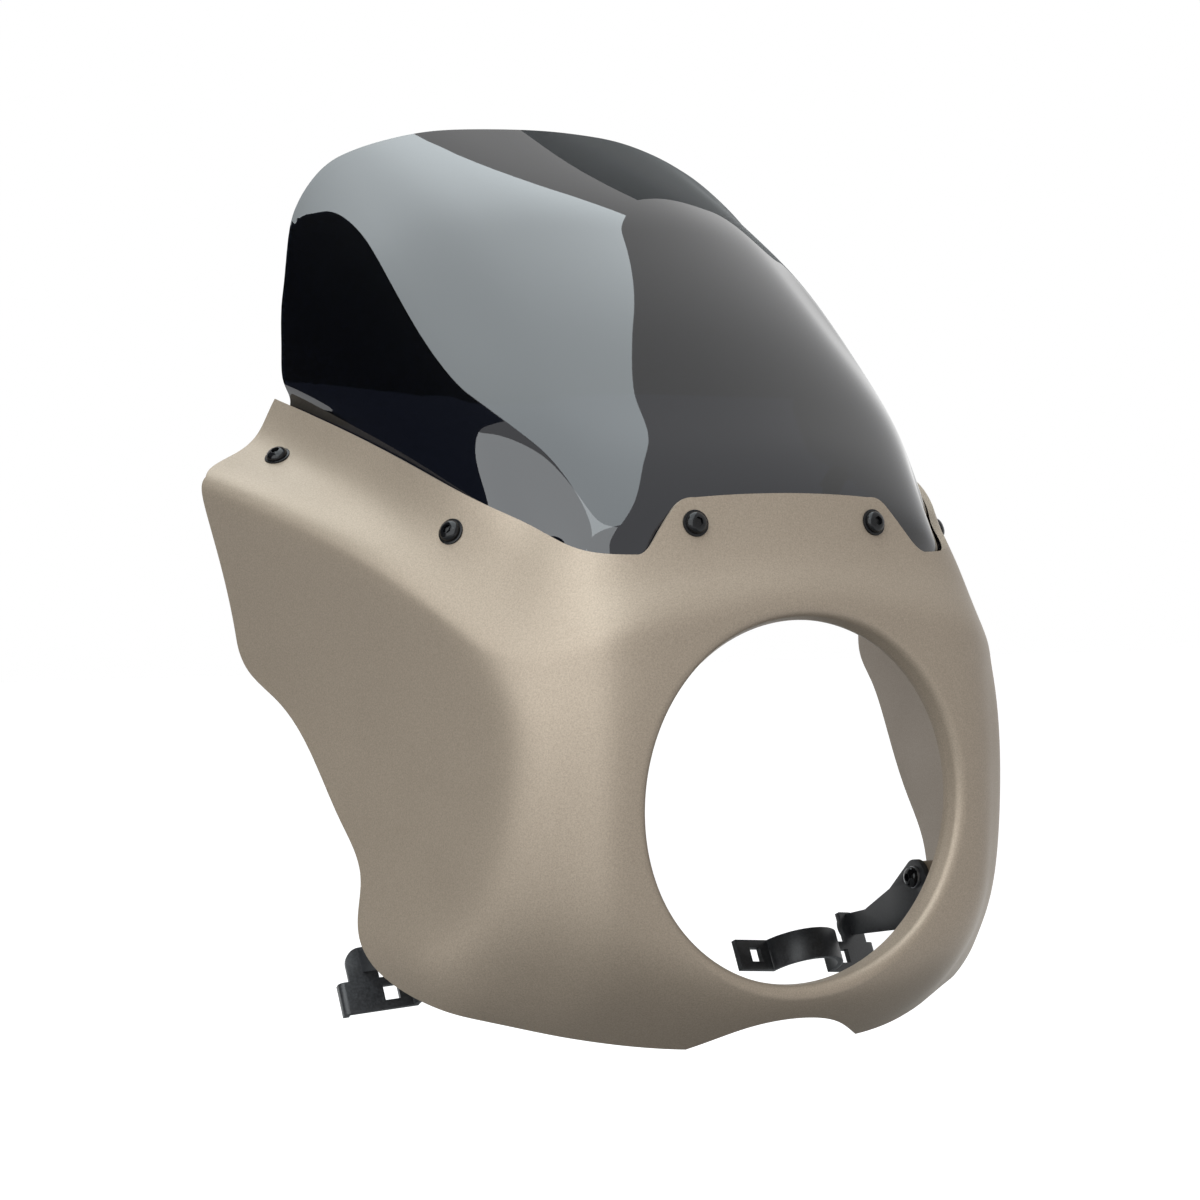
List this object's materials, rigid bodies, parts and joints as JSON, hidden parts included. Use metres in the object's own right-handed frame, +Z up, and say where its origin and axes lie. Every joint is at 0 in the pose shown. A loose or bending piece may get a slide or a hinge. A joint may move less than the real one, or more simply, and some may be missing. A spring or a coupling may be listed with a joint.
{
  "type": "headlight cowl",
  "caption": "Moulded motorbike headlight cowl with a round lamp opening, a smoked windshield screwed behind its upper flange and bent steel brackets that clamp the fork tubes.",
  "frame": {"origin": "centre of the lamp opening, halfway along its short straight bore", "axes": "-Y is the front, where the lamp looks out; +X and -X are the two cheeks; +Z is up"},
  "size_m": [0.4088, 0.2746, 0.4477],
  "materials": {
    "shell": "satin champagne metallic paint on moulded plastic",
    "smoked_screen": "dark smoked clear sheet",
    "bracket_steel": "satin black powder coat on steel",
    "black_screw": "gloss black steel",
    "black_washer": "satin black steel",
    "rubber": "matte",
    "brass": "turned",
    "spring_steel": "zinc"
  },
  "bodies": {
    "root": {"cowl_shell": "shell", "windshield": "smoked_screen", "bracket_left": "bracket_steel", "bracket_right": "bracket_steel", "screw_front_left": "black_screw", "screw_front_right": "black_screw", "screw_side_left": "black_screw", "screw_side_right": "black_screw", "screw_rear_left": "black_screw", "screw_rear_right": "black_screw", "washer_front_left": "black_washer", "washer_front_right": "black_washer", "washer_side_left": "black_washer", "washer_side_right": "black_washer", "washer_rear_left": "black_washer", "washer_rear_right": "black_washer", "well_nut_front_left": "rubber", "well_nut_front_right": "rubber", "well_nut_side_left": "rubber", "well_nut_side_right": "rubber", "well_nut_rear_left": "rubber", "well_nut_rear_right": "rubber", "brass_insert_front_left": "brass", "brass_insert_front_right": "brass", "brass_insert_side_left": "brass", "brass_insert_side_right": "brass", "brass_insert_rear_left": "brass", "brass_insert_rear_right": "brass", "boss_insert_left_upper": "brass", "boss_insert_left_lower": "brass", "boss_insert_right_upper": "brass", "boss_insert_right_lower": "brass", "bracket_screw_left_upper": "black_screw", "bracket_screw_left_lower": "black_screw", "bracket_screw_right_upper": "black_screw", "bracket_screw_right_lower": "black_screw", "lock_washer_left_upper": "spring_steel", "lock_washer_left_lower": "spring_steel", "lock_washer_right_upper": "spring_steel", "lock_washer_right_lower": "spring_steel"}
  },
  "joints": []
}
